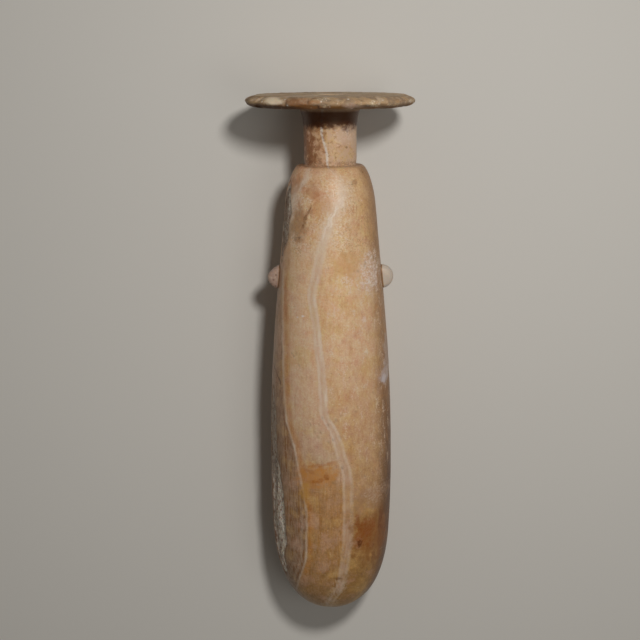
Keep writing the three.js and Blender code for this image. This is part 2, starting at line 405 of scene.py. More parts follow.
@dataclass(frozen=True)
class Relief:
    """The wear and the breaks of the flask's surface, as moves of its points."""

    sizes: Sizes = Sizes()
    seed: int = 7
    swell: float = 0.1
    swell_size: float = 26.0
    ripple: float = 0.05
    ripple_size: float = 6.5
    pit_depth: float = 0.14
    pit_size: float = 2.2
    pit_patch_size: float = 17.0
    crystal_size: float = 1.8
    corner_depth: float = 0.22
    corner_reach: float = 1.1
    rim_swell: float = 0.12
    rim_swell_size: float = 9.0
    rim_ripple: float = 0.09
    rim_ripple_size: float = 2.4
    joint_reach: float = 0.5
    flakes: tuple[Flake, ...] = (
        Flake(1.0, 48.0, 156.0, 29.0, 16.5, grain=2.3, roughness=0.6),
        Flake(0.7, 82.0, 165.0, 27.0, 12.5, grain=2.3, roughness=0.5),
        Flake(0.6, 184.5, 167.0, 18.5, 18.0, grain=1.9, roughness=0.35),
    )
    bites: tuple[Bite, ...] = (
        Bite(6, 48, 1.3, 7),
        Bite(22, -50, 0.9, 5),
        Bite(128, 8, 0.5, 24),
        Bite(66, -40, 0.7, 9),
        Bite(176, 35, 0.7, 8),
        Bite(205, -30, 1.0, 10),
    )
    nicks: int = 11
    nick_depth: float = 0.55
    nick_ball: float = 8.0
    nick_lift: float = 55.0
    nick_drift: float = 9.0
    under: float = 270.0
    under_clearance: float = 14.0
    facets: int = 110
    facet_depth: tuple[float, float] = (0.02, 0.14)
    facet_reach: float = 5.0
    facet_lift: tuple[float, float] = (-75, 80)
    facet_skew: float = 0.22
    bitten_depth: float = 0.6

    def all_bites(self) -> list[Bite]:
        """The named chips and the small nicks between them."""
        share = 360 / self.nicks
        small = [
            Bite(
                (i + 0.5) * share + self.nick_drift * math.sin(i * 2.4),
                self.nick_lift * math.cos(i * 2.1),
                self.nick_depth * (0.75 + 0.25 * math.sin(i * 1.7)),
                self.nick_ball,
            )
            for i in range(self.nicks)
        ]
        clear = (b for b in small if abs(b.bearing - self.under) > self.under_clearance)
        return [*self.bites, *clear]

    def bite_rim(self, p: np.ndarray) -> None:
        """Moves the rim's points in to the chips' balls and facets.

        Args:
            p: Points in millimetres, changed in place.
        """
        s = self.sizes
        for b in self.all_bites():
            edge, way = self.on_edge(b.bearing, b.lift)
            centre = edge + way * (b.ball - b.depth)
            from_centre = p - centre
            inside = np.linalg.norm(from_centre, axis=1) < b.ball
            inside &= p[:, 1] > s.rim_underside - 1
            along = from_centre[inside] @ way
            across = from_centre[inside] - along[:, None] * way
            far = -np.sqrt(np.maximum(b.ball**2 - (across**2).sum(1), 0))
            p[inside] += (far - along)[:, None] * way
        random = np.random.default_rng(self.seed)
        for _ in range(self.facets):
            bearing = random.uniform(0, 360)
            edge, way = self.on_edge(bearing, random.uniform(*self.facet_lift))
            depth = random.uniform(*self.facet_depth)
            way = way + random.uniform(-self.facet_skew, self.facet_skew, 3)
            way /= np.linalg.norm(way)
            if abs(bearing - self.under) < self.under_clearance:
                continue
            near = np.linalg.norm(p - edge, axis=1) < self.facet_reach
            near &= p[:, 1] > s.rim_underside - self.joint_reach
            over = np.where(near, (p - edge) @ way + depth, 0)
            p -= np.maximum(over, 0)[:, None] * way

    def on_edge(self, bearing: float, lift: float) -> tuple[np.ndarray, np.ndarray]:
        """A place on the rim's tapered edge.

        Args:
            bearing: Degrees round the axis.
            lift: 90 at the top face, -90 at the underside.

        Returns:
            The point in millimetres and the outward direction there.
        """
        s = self.sizes
        turn, up = math.radians(bearing), math.radians(lift)
        reach, half = s.rim_edge_reach, s.rim_thickness / 2
        out = np.array([math.cos(up) / reach, math.sin(up) / half])
        out /= np.linalg.norm(out)
        radius = s.rim_radius - reach + math.cos(up) * reach
        round_ = np.array([math.cos(turn), 0, math.sin(turn)])
        point = round_ * radius + np.array([0, s.rim_middle + math.sin(up) * half, 0])
        return point, round_ * out[0] + np.array([0, out[1], 0])

    def carve(
        self, p: np.ndarray, normal: np.ndarray, outline: Outline
    ) -> dict[str, np.ndarray]:
        """Wears the whole outside.

        Args:
            p: Points in millimetres, changed in place.
            normal: Outward direction at each point.
            outline: The profile that tells the outside from the hollow.

        Returns:
            How much each point is flaked, pitted and bitten, 0 to 1, by name.
        """
        s = self.sizes
        height = p[:, 1]
        radius = np.hypot(p[:, 0], p[:, 2])
        bearing = np.degrees(np.arctan2(p[:, 2], p[:, 0])) % 360
        foot = s.body_length - 0.2
        under = s.rim_underside - self.joint_reach
        on_body = (height < foot) & (radius > outline.radius_at(height) - 1)
        on_neck = (height >= foot) & (height < under) & (radius > s.bore_radius + 1)
        on_rim = (height >= under) & (radius > s.bore_radius + 0.5)
        outside = on_body | on_neck | on_rim

        # The hand-ground surface, with small pits and grains lost here and there
        o = p[outside]
        pits = smooth(crystals(o, self.pit_size, 3.0), 0.34, 0.1)
        pits = pits * smooth(modulate(o, self.pit_patch_size, 3, 4.0), 0.28, 0.7)
        pitted = np.zeros(len(p))
        pitted[outside] = pits
        move = np.zeros(len(p))
        move[outside] += self.swell * modulate(o, self.swell_size, 2, 1.0)
        move[outside] += self.ripple * modulate(o, self.ripple_size, 3, 2.0)
        move -= self.pit_depth * pitted
        flaked = self.break_off(p, bearing, on_body, move)

        # The corner at the neck's foot is worn and unevenly cut, and the rim is uneven
        from_corner = (height - s.body_length - s.neck_fillet) / self.corner_reach
        move -= np.exp(-(from_corner**2)) * (on_neck | on_body) * self.corner_depth
        r = p[on_rim]
        move[on_rim] += self.rim_swell * modulate(r, self.rim_swell_size, 4, 12.0)
        move[on_rim] += self.rim_ripple * modulate(r, self.rim_ripple_size, 3, 13.0)
        p += normal * move[:, None]
        whole = p.copy()
        self.bite_rim(p)
        bitten = np.clip(np.linalg.norm(p - whole, axis=1) / self.bitten_depth, 0, 1)
        return {"flaked": flaked, "pitted": pitted, "bitten": bitten}

    def break_off(
        self, p: np.ndarray, bearing: np.ndarray, on_body: np.ndarray, move: np.ndarray
    ) -> np.ndarray:
        """Sinks the flakes, each with a bed of broken crystals.

        Args:
            p: Points in millimetres.
            bearing: Degrees round the axis of each point.
            on_body: Which points are on the outside of the body.
            move: Outward move of each point, changed in place.

        Returns:
            How far inside a flake each point is, 0 to 1.
        """
        flaked = np.zeros(len(p))
        for flake in self.flakes:
            share = flake.share(p, bearing) * on_body
            inside = share > 0
            grains = crystals(p[inside], flake.grain, 8.0)
            fine = modulate(p[inside], self.crystal_size, 3, 9.0)
            faces = 0.75 * (1 - grains) + 0.45 * fine - 0.25
            bed = smooth(share[inside], 0.02, 0.3) * flake.roughness
            move[inside] -= flake.depth * smooth(share[inside], 0, 0.6) + bed * faces
            flaked = np.maximum(flaked, share)
        return flaked


# Bpy helpers


def only(item: bpy.types.Object) -> None:
    """Selects one object, alone, and makes it the active one.

    Args:
        item: The object.
    """
    if bpy.context.mode != "OBJECT":
        bpy.ops.object.mode_set(mode="OBJECT")
    bpy.ops.object.select_all(action="DESELECT")
    item.select_set(True)
    bpy.context.view_layer.objects.active = item


def read_points(item: bpy.types.Object) -> np.ndarray:
    """The mesh's points, one a row."""
    flat = np.empty(len(item.data.vertices) * 3)
    item.data.vertices.foreach_get("co", flat)
    return flat.reshape(-1, 3)


def write_points(item: bpy.types.Object, p: np.ndarray) -> None:
    """Puts the points back into the mesh."""
    item.data.vertices.foreach_set("co", p.ravel())
    item.data.update()


def read_normals(item: bpy.types.Object) -> np.ndarray:
    """The outward direction at each point of the mesh."""
    flat = np.empty(len(item.data.vertices) * 3)
    item.data.vertices.foreach_get("normal", flat)
    return flat.reshape(-1, 3)


def begin_piece(name: str) -> bpy.types.Object:
    """Names the object that a primitive operator has just made."""
    item = bpy.context.active_object
    item.name = name
    item.data.name = name
    return item


# Shader sockets as values


Socket = bpy.types.NodeSocket


class Shader:
    """A node tree with one method that adds any node."""

    def __init__(self, material: bpy.types.Material) -> None:
        """Clears the material's tree.

        Args:
            material: The material to fill.
        """
        material.use_nodes = True
        self.tree = material.node_tree
        self.tree.nodes.clear()

    def node(
        self, kind: str, settings: dict | None = None, sockets: dict | None = None
    ) -> bpy.types.Node:
        """Adds a node.

        Args:
            kind: The node's type.
            settings: Its properties, under "stops" a ramp's places and colours, and under
                "curve" a curve's points.
            sockets: Values or links, by the sockets' names or numbers.

        Returns:
            The node.
        """
        made = self.tree.nodes.new(kind)
        for key, value in (settings or {}).items():
            if key == "stops":
                self.set_stops(made, value)
            elif key == "curve":
                self.set_curve(made, value)
            else:
                setattr(made, key, value)
        for key, value in (sockets or {}).items():
            self.feed(made.inputs[key], value)
        return made

    def feed(self, socket: Socket, value: object) -> None:
        """Sets or links one socket."""
        if isinstance(value, Value):
            value = value.socket
        if isinstance(value, Socket):
            self.tree.links.new(value, socket)
        else:
            socket.default_value = value

    @staticmethod
    def set_stops(ramp: bpy.types.Node, stops: list[tuple[float, tuple]]) -> None:
        """Gives a colour ramp its stops."""
        elements = ramp.color_ramp.elements
        while len(elements) > 1:
            elements.remove(elements[-1])
        for i, (place, colour) in enumerate(stops):
            stop = elements[0] if i == 0 else elements.new(place)
            stop.position = place
            stop.color = (*colour, 1.0)

    @staticmethod
    def set_curve(made: bpy.types.Node, points: list[tuple[float, float]]) -> None:
        """Gives a curve node its points."""
        curve = made.mapping.curves[0]
        curve.points[0].location = points[0]
        curve.points[1].location = points[-1]
        for place in points[1:-1]:
            curve.points.new(*place)
        made.mapping.update()

    def math(self, operation: str, *values: object, clamp: bool = False) -> "Value":
        """Adds a Math node on some values."""
        made = self.node("ShaderNodeMath", {"operation": operation, "use_clamp": clamp})
        for socket, value in zip(made.inputs, values):
            self.feed(socket, value)
        return Value(self, made.outputs[0])

    def vector(self, operation: str, *values: object) -> Socket:
        """Adds a Vector Math node on some vectors."""
        made = self.node("ShaderNodeVectorMath", {"operation": operation})
        for socket, value in zip(made.inputs, values):
            self.feed(socket, value)
        return made.outputs["Value" if operation == "LENGTH" else "Vector"]

    def step(self, value: "Value", low: float, high: float) -> "Value":
        """Smooth step of a value from low to high; a high below low turns it round."""
        turned = high < low
        made = self.node(
            "ShaderNodeMapRange",
            {"interpolation_type": "SMOOTHSTEP"},
            {
                "Value": value,
                "From Min": min(low, high),
                "From Max": max(low, high),
                "To Min": float(turned),
                "To Max": float(not turned),
            },
        )
        return Value(self, made.outputs["Result"])

    def noise(
        self, where: Socket, scale: float, detail: float = 3, rough: float = 0.55
    ) -> "Value":
        """Noise of 0 to 1, with a scale in cycles for each unit of where."""
        made = self.node(
            "ShaderNodeTexNoise",
            {},
            {"Vector": where, "Scale": scale, "Detail": detail, "Roughness": rough},
        )
        return Value(self, made.outputs["Fac"])

    def grains(self, where: Socket, scale: float) -> "Value":
        """Cells of a given scale, as the distance from each cell's middle."""
        made = self.node("ShaderNodeTexVoronoi", {}, {"Vector": where, "Scale": scale})
        return Value(self, made.outputs["Distance"])

    def attribute(self, name: str) -> "Value":
        """A number that the piece keeps at each of its points."""
        made = self.node("ShaderNodeAttribute", {"attribute_name": name})
        return Value(self, made.outputs["Fac"])

    def mix(self, share: object, a: object, b: object, blend: str = "MIX") -> Socket:
        """Mixes two colours.

        Args:
            share: How much of b, 0 to 1.
            a: First colour.
            b: Second colour.
            blend: How they mix.

        Returns:
            The mixed colour's socket.
        """
        made = self.node("ShaderNodeMix", {"data_type": "RGBA", "blend_type": blend})
        self.feed(made.inputs[0], share)
        self.feed(made.inputs[6], a if not isinstance(a, tuple) else (*a, 1.0))
        self.feed(made.inputs[7], b if not isinstance(b, tuple) else (*b, 1.0))
        return made.outputs[2]


@dataclass(frozen=True)
class Value:
    """A number socket that takes part in Python expressions."""

    shader: Shader
    socket: Socket

    def __add__(self, other: object) -> "Value":
        """Sum."""
        return self.shader.math("ADD", self, other)

    def __radd__(self, other: object) -> "Value":
        """Sum, turned round."""
        return self.shader.math("ADD", other, self)

    def __sub__(self, other: object) -> "Value":
        """Difference."""
        return self.shader.math("SUBTRACT", self, other)

    def __rsub__(self, other: object) -> "Value":
        """Difference, turned round."""
        return self.shader.math("SUBTRACT", other, self)

    def __mul__(self, other: object) -> "Value":
        """Product."""
        return self.shader.math("MULTIPLY", self, other)

    def __rmul__(self, other: object) -> "Value":
        """Product, turned round."""
        return self.shader.math("MULTIPLY", other, self)

    def __truediv__(self, other: object) -> "Value":
        """Quotient."""
        return self.shader.math("DIVIDE", self, other)

    def __abs__(self) -> "Value":
        """Size without sign."""
        return self.shader.math("ABSOLUTE", self)

    def clamped(self) -> "Value":
        """Kept between 0 and 1."""
        return self.shader.math("ADD", self, 0.0, clamp=True)

    def at_most(self, other: object) -> "Value":
        """The smaller of the two."""
        return self.shader.math("MINIMUM", self, other)


# Stone


Tint = tuple[int, int, int]
Trace = tuple[tuple[float, float], ...]


def linear(tint: Tint) -> tuple[float, float, float]:
    """Turns a screen colour of 0 to 255 into the shader's linear one."""
    return tuple((c / 255 / 12.92) if c < 11 else ((c / 255 + 0.055) / 1.055) ** 2.4 for c in tint)


@dataclass
class Coat:
    """A surface's colour so far, which others are laid over."""

    shader: Shader
    colour: Socket

    def cover(self, share: object, colour: Socket | tuple[float, float, float]) -> None:
        """Lays a colour over what is there."""
        self.colour = self.shader.mix(share, self.colour, colour)

    def lay(self, share: object, tint: Tint) -> None:
        """Lays a tint over what is there."""
        self.cover(share, linear(tint))


@dataclass(frozen=True)
class Stain:
    """A stain on the front, with its middle and half sizes in millimetres and its turn in degrees."""

    x: float
    height: float
    half_width: float
    half_height: float
    tint: Tint
    strength: float
    ragged: float
    grain: float
    speckle: float
    turn: float = 0.0


@dataclass(frozen=True)
class Layers:
    """Where the stone's veins run on the front, as height and x in millimetres, drawn one by one."""

    main: Trace = (
        (0, -2.5), (9.5, 0.2), (14.6, 3.0), (21.5, 4.6), (31.8, 6.2), (39, 7.2), (51, 7.4), (61, 7.4),
        (70.5, 7.0), (80, 4.6), (87, 2.7), (94, -0.2), (100.8, -3.4), (107.7, -3.6), (121, -4.6),
        (130, -5.8), (139, -6.5), (147.7, -8.0), (153, -8.6), (161, -6.8), (167.6, -5.5),
        (174.3, -3.8), (185.4, 0.2), (191.8, 2.7), (200.3, 5.2), (209, -1.1), (217, -2.2), (224, -3.5),
        (240, -3.0),
    )
    second: Trace = (
        (0, -19.0), (14.8, -15.8), (25, -13.4), (31, -11.9), (41, -11.5), (54.6, -11.5), (74, -15.0),
        (84, -16.8), (93.9, -19.9), (100.5, -20.8), (123, -21.6), (136.6, -21.6), (154.4, -21.7),
        (175, -20.0), (198.4, -15.0), (205.8, -10.1), (240, -9.0),
    )
    spacing: Trace = (
        (0, 0.8), (15, 1.3), (40, 1.75), (85, 1.6), (100, 1.25), (150, 1.2), (185, 1.5), (205, 0.6),
        (240, 0.3),
    )
    hairline: float = 153.2
    height_range: float = 240.0
    half_range: float = 30.0


@dataclass(frozen=True)
class BandedStone:
    """The flask's stone: honey and cream bands with pale veins, brown stains and white breaks."""

    layers: Layers = Layers()
    # Colours up the height right of the main vein, between the veins and left of the second one; their
    # darkening towards the base is partly the stone's own colour and partly painted shade
    right: tuple[tuple[float, Tint], ...] = (
        (0, (162, 122, 68)), (20, (166, 124, 70)), (48, (178, 136, 86)), (75, (206, 164, 118)),
        (100, (218, 176, 134)), (130, (231, 192, 152)), (160, (235, 195, 151)),
        (185, (227, 186, 139)), (209, (222, 182, 142)), (240, (206, 168, 130)),
    )
    middle: tuple[tuple[float, Tint], ...] = (
        (0, (160, 122, 76)), (20, (176, 130, 76)), (55, (182, 132, 78)), (66, (186, 138, 88)),
        (80, (210, 174, 140)), (100, (226, 188, 152)), (130, (234, 196, 158)),
        (155, (238, 200, 160)), (175, (234, 192, 150)), (209, (222, 176, 134)),
        (240, (192, 148, 108)),
    )
    left: tuple[tuple[float, Tint], ...] = (
        (0, (130, 94, 56)), (30, (142, 100, 62)), (60, (152, 110, 72)), (100, (166, 124, 92)),
        (150, (182, 138, 102)), (180, (231, 173, 125)), (209, (227, 169, 123)), (240, (182, 134, 94)),
    )
    pale: Tint = (238, 218, 194)
    blush: Tint = (208, 174, 152)
    amber: Tint = (206, 137, 62)
    ember: Tint = (186, 104, 44)
    cream: Tint = (240, 220, 196)
    fleck: Tint = (232, 202, 176)
    warm: Tint = (198, 142, 84)
    rose: Tint = (220, 174, 150)
    honey: Tint = (220, 176, 108)
    umber: Tint = (122, 80, 46)
    grime: Tint = (74, 50, 30)
    edge_amber_and_painted_shade: Tint = (138, 92, 48)
    painted_side_shade: Tint = (84, 48, 18)
    crackle: Tint = (150, 98, 60)
    break_pale: Tint = (255, 244, 226)
    break_deep: Tint = (178, 144, 122)
    break_painted_shade: Tint = (112, 84, 70)
    rim_base: Tint = (194, 162, 124)
    rim_grey: Tint = (160, 136, 110)
    rim_brown_and_shade: Tint = (112, 80, 48)
    rim_light: Tint = (232, 212, 184)
    rim_white: Tint = (246, 238, 224)
    neck_pale: Tint = (216, 184, 156)
    neck_red: Tint = (140, 88, 54)
    painted_shade_brown: Tint = (62, 20, 0)
    lug_pale: Tint = (206, 192, 176)
    lug_pink: Tint = (178, 150, 134)
    lug_pit: Tint = (96, 66, 50)
    stains: tuple[Stain, ...] = (
        # The orange stain across the second vein: body, upper line, curl, yellow tail and hook
        Stain(-6.0, 71.6, 10.4, 6.4, (208, 142, 70), 0.85, 0.9, 3.6, 0.3, turn=7),
        Stain(-5.0, 76.4, 9.0, 0.9, (178, 108, 48), 0.55, 1.4, 2.6, 0.5, turn=11),
        Stain(-6.4, 68.8, 5.4, 1.1, (172, 98, 38), 0.6, 1.4, 2.6, 0.5, turn=17),
        Stain(-2.4, 71.2, 1.4, 1.8, (162, 92, 38), 0.6, 1.2, 2.6, 0.3),
        Stain(-10.0, 73.4, 3.0, 1.0, (178, 106, 46), 0.5, 1.3, 2.6, 0.3, turn=-17),
        Stain(-12.0, 63.6, 3.0, 6.4, (206, 154, 80), 0.75, 1.0, 3.6, 0.3),
        Stain(-9.6, 56.4, 1.0, 1.6, (156, 84, 36), 0.5, 1.0, 2.0, 0.3),
        # The rust patch on the lower right with its dark spots and the grainy patch above it
        Stain(17.6, 41.0, 10.5, 15.0, (146, 84, 28), 0.72, 1.0, 5.0, 0.3),
        Stain(15.0, 42.5, 5.2, 7.5, (150, 74, 14), 0.7, 1.3, 3.6, 0.5),
        Stain(12.0, 49.0, 1.6, 4.6, (140, 72, 24), 0.75, 1.3, 2.6, 0.5, turn=14),
        Stain(12.8, 38.0, 1.7, 2.2, (92, 46, 16), 0.8, 1.4, 2.0, 0.5),
        Stain(22.6, 45.0, 1.1, 9.5, (116, 58, 20), 0.75, 1.2, 2.6, 0.5, turn=-4),
        Stain(18.9, 30.0, 1.2, 8.0, (116, 62, 24), 0.65, 1.3, 2.6, 0.5),
        Stain(18.0, 59.0, 8.5, 7.0, (174, 134, 102), 0.6, 1.2, 3.6, 0.3),
        Stain(19.5, 61.0, 6.5, 6.0, (220, 192, 166), 0.45, 1.4, 2.6, 0.9),
        # Pale crusts below the right lug and small white flecks
        Stain(16.9, 161.0, 6.4, 11.5, (226, 194, 174), 0.6, 1.2, 3.6, 0.5),
        Stain(17.4, 162.0, 4.8, 9.5, (246, 230, 216), 0.75, 1.5, 2.6, 0.9),
        Stain(7.5, 159.0, 3.6, 2.4, (240, 218, 198), 0.7, 1.5, 2.0, 0.9),
        Stain(14.8, 141.6, 1.1, 1.6, (246, 230, 212), 0.6, 1.3, 1.4, 0.3),
        Stain(15.6, 127.2, 0.8, 1.0, (246, 232, 216), 0.6, 1.0, 1.4, 0.3),
        Stain(-12.4, 143.4, 0.8, 0.6, (246, 236, 224), 0.8, 0.4, 1.4, 0.0),
        Stain(-14.9, 142.7, 0.5, 0.5, (240, 226, 210), 0.6, 0.4, 1.4, 0.0),
        # A pale bluish-white patch near the right edge
        Stain(24.2, 114.6, 2.6, 5.2, (220, 212, 214), 0.45, 0.9, 3.6, 0.0),
        Stain(23.9, 112.8, 1.3, 2.4, (230, 226, 232), 0.45, 0.9, 2.6, 0.0),
        Stain(25.6, 124.0, 2.0, 11.0, (206, 184, 172), 0.45, 0.9, 3.6, 0.0),
        # Dark marks: near the base, at the left vein and at the shoulder
        Stain(2.7, 21.5, 3.2, 0.7, (104, 70, 38), 0.6, 1.3, 2.6, 0.5),
        Stain(-24.4, 114.0, 0.35, 6.0, (78, 54, 40), 0.65, 0.5, 2.6, 0.3, turn=25),
        Stain(10.6, 202.0, 1.4, 1.8, (140, 92, 54), 0.6, 1.2, 2.0, 0.5),
        Stain(16.5, 184.0, 0.8, 6.0, (150, 104, 62), 0.4, 1.3, 2.0, 0.9, turn=11),
        # The brown patch on the upper left, its speckled edge and the reddish one above
        Stain(-14.0, 184.5, 4.8, 10.0, (152, 106, 56), 0.62, 1.0, 5.0, 0.3, turn=-19),
        Stain(-10.6, 187.0, 0.7, 7.5, (108, 70, 36), 0.65, 1.2, 2.0, 0.5, turn=-22),
        Stain(-15.0, 177.5, 2.6, 1.2, (112, 72, 40), 0.55, 1.4, 2.0, 0.9, turn=17),
        Stain(-15.8, 199.5, 2.4, 6.5, (176, 122, 86), 0.55, 1.1, 2.6, 0.5, turn=-28),
        Stain(-8.0, 198.5, 4.0, 5.0, (176, 108, 62), 0.6, 1.4, 3.6, 0.5),
        Stain(-3.4, 192.0, 5.0, 7.0, (200, 140, 92), 0.4, 1.4, 3.6, 0.5),
        Stain(-19.5, 168.0, 2.4, 8.0, (196, 140, 92), 0.5, 1.2, 5.0, 0.5),
        Stain(6.0, 166.0, 7.0, 6.0, (206, 150, 80), 0.5, 1.3, 3.6, 0.5),
        Stain(1.4, 187.5, 0.7, 6.5, (250, 238, 222), 0.65, 0.9, 2.0, 0.3, turn=-20),
        Stain(-1.6, 183.0, 0.6, 8.0, (248, 234, 216), 0.5, 0.9, 2.0, 0.3, turn=-20),
        Stain(5.0, 194.0, 2.2, 2.4, (246, 230, 212), 0.5, 1.3, 2.0, 0.5),
        # The neck: brown on the left, dark blotches under the rim that are partly stain and partly
        # painted shadow at the ragged edge of the rim's shadow, a speck and a pale right side
        Stain(-9.6, 217.0, 3.4, 8.5, (150, 88, 52), 0.75, 1.4, 2.6, 0.5),
        Stain(9.2, 225.8, 3.8, 3.0, (52, 26, 10), 0.95, 1.2, 2.0, 0.0),
        Stain(-5.0, 227.4, 3.6, 1.8, (60, 30, 12), 0.85, 1.5, 2.0, 0.3),
        Stain(7.2, 217.0, 0.6, 0.7, (92, 58, 34), 0.75, 0.5, 2.0, 0.0),
        Stain(6.6, 222.0, 5.8, 4.4, (236, 212, 192), 0.6, 1.4, 2.0, 0.5),
        Stain(5.4, 213.4, 4.6, 3.6, (212, 180, 124), 0.6, 1.2, 2.6, 0.3),
        Stain(3.2, 219.6, 2.6, 0.5, (238, 208, 168), 0.6, 1.0, 2.0, 0.3, turn=-22),
    )
    rim_stains: tuple[Stain, ...] = (
        Stain(-13.5, 237.8, 7.0, 2.4, (150, 104, 70), 0.8, 0.7, 2.6, 0.3),
        Stain(-11.0, 235.8, 9.0, 1.3, (138, 86, 32), 0.85, 0.7, 2.6, 0.3),
        Stain(-24.4, 238.2, 4.6, 2.0, (246, 226, 194), 1.0, 0.3, 2.6, 0.0),
        Stain(-34.0, 237.2, 3.6, 0.9, (206, 176, 134), 0.6, 0.9, 2.0, 0.5),
        Stain(-6.0, 238.2, 3.0, 1.0, (196, 146, 104), 0.6, 1.2, 2.0, 0.5),
        Stain(-3.0, 239.2, 2.8, 0.9, (248, 228, 194), 0.95, 1.3, 1.4, 0.9),
        Stain(-2.6, 236.6, 2.2, 1.0, (226, 200, 160), 0.6, 1.3, 1.4, 0.9),
        Stain(2.4, 235.4, 4.6, 1.2, (134, 88, 28), 0.85, 0.7, 2.6, 0.3),
        Stain(9.6, 236.0, 4.6, 1.5, (206, 176, 154), 0.75, 0.8, 2.6, 0.3),
        Stain(22.0, 235.2, 9.0, 0.7, (136, 92, 44), 0.7, 0.9, 2.6, 0.3),
        Stain(18.6, 237.0, 3.0, 1.4, (240, 222, 192), 0.8, 1.4, 1.4, 0.9),
        Stain(27.0, 236.6, 3.4, 0.8, (230, 208, 172), 0.6, 1.3, 1.4, 0.9),
        Stain(30.0, 238.2, 4.0, 0.9, (130, 90, 48), 0.5, 1.2, 2.0, 0.5),
        Stain(35.0, 237.4, 1.3, 0.9, (242, 226, 196), 0.8, 1.2, 1.4, 0.5),
        # The two darkest, along the lower left of the edge, are painted shade
        Stain(-16.0, 235.4, 6.0, 0.9, (58, 32, 12), 0.7, 0.8, 2.6, 0.3),
        Stain(-27.0, 235.2, 9.0, 1.1, (52, 28, 8), 0.85, 0.7, 2.6, 0.3),
    )
    cloud_size: float = 14.0
    grain_size: float = 1.6
    sand_size: float = 0.75
    drift_size: float = 4.2
    drift_reach: float = 3.4
    # Drops below the rim's underside where the painted shadow on the neck fades out and where it is
    # full
    neck_shadow_drops: tuple[float, float] = (10.4, 7.2)
    roughness: float = 0.42
    break_roughness: float = 0.85
    refraction: float = 1.5
    shine: float = 0.42
    relief_strength: float = 0.55
    relief_depth: float = 0.00022
    glow: float = 0.18
    glow_depth: float = 0.0035
    glow_reach: tuple[float, float, float] = (1.0, 0.55, 0.28)
    sheen: tuple[float, float, float, float] = (1.0, 0.8, 0.58, 1.0)


